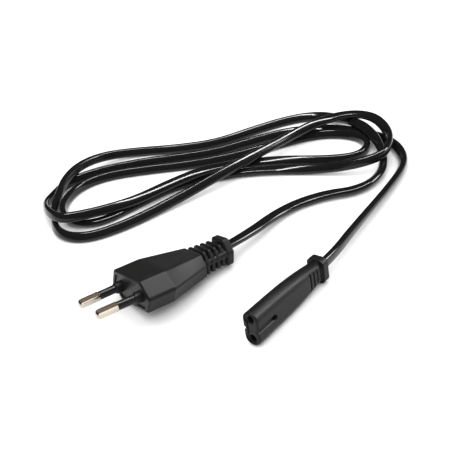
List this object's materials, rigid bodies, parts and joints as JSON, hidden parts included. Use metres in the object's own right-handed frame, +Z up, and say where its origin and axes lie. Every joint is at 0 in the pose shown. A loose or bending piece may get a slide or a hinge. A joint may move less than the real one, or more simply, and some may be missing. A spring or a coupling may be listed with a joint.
{
  "type": "power cord",
  "caption": "Mains lead with a flat hexagonal pin plug, a flat twin cord lying in a loose hank, and a figure-eight appliance connector.",
  "frame": {"origin": "on the floor, under the middle of the box around the plug and the connector, without the cord", "axes": "+Z up; +X to the right and +Y away from the viewer, as the picture shows the cord lying"},
  "size_m": [0.184, 0.1875, 0.0193],
  "materials": {
    "overmould": "satin black PVC",
    "hard_insert": "black hard plastic",
    "pin_metal": "nickel-plated brass",
    "pin_sleeve": "satin black",
    "cord": "glossy black PVC",
    "core_brown": "brown PVC",
    "core_blue": "blue PVC",
    "copper": "bare copper",
    "contact_brass": "spring brass"
  },
  "bodies": {
    "root": {"plug_housing": "overmould", "plug_pin_bridge": "hard_insert", "plug_pin_left": "pin_metal", "plug_pin_right": "pin_metal", "pin_sleeve_left": "pin_sleeve", "pin_sleeve_right": "pin_sleeve", "plug_strands_brown": "copper", "plug_strands_blue": "copper", "plug_core_brown": "core_brown", "plug_core_blue": "core_blue", "cord_sheath": "cord", "connector_core_brown": "core_brown", "connector_core_blue": "core_blue", "connector_strands_brown": "copper", "connector_strands_blue": "copper", "socket_contact_upper": "contact_brass", "socket_contact_lower": "contact_brass", "connector_insert": "hard_insert", "connector_housing": "overmould"}
  },
  "joints": []
}
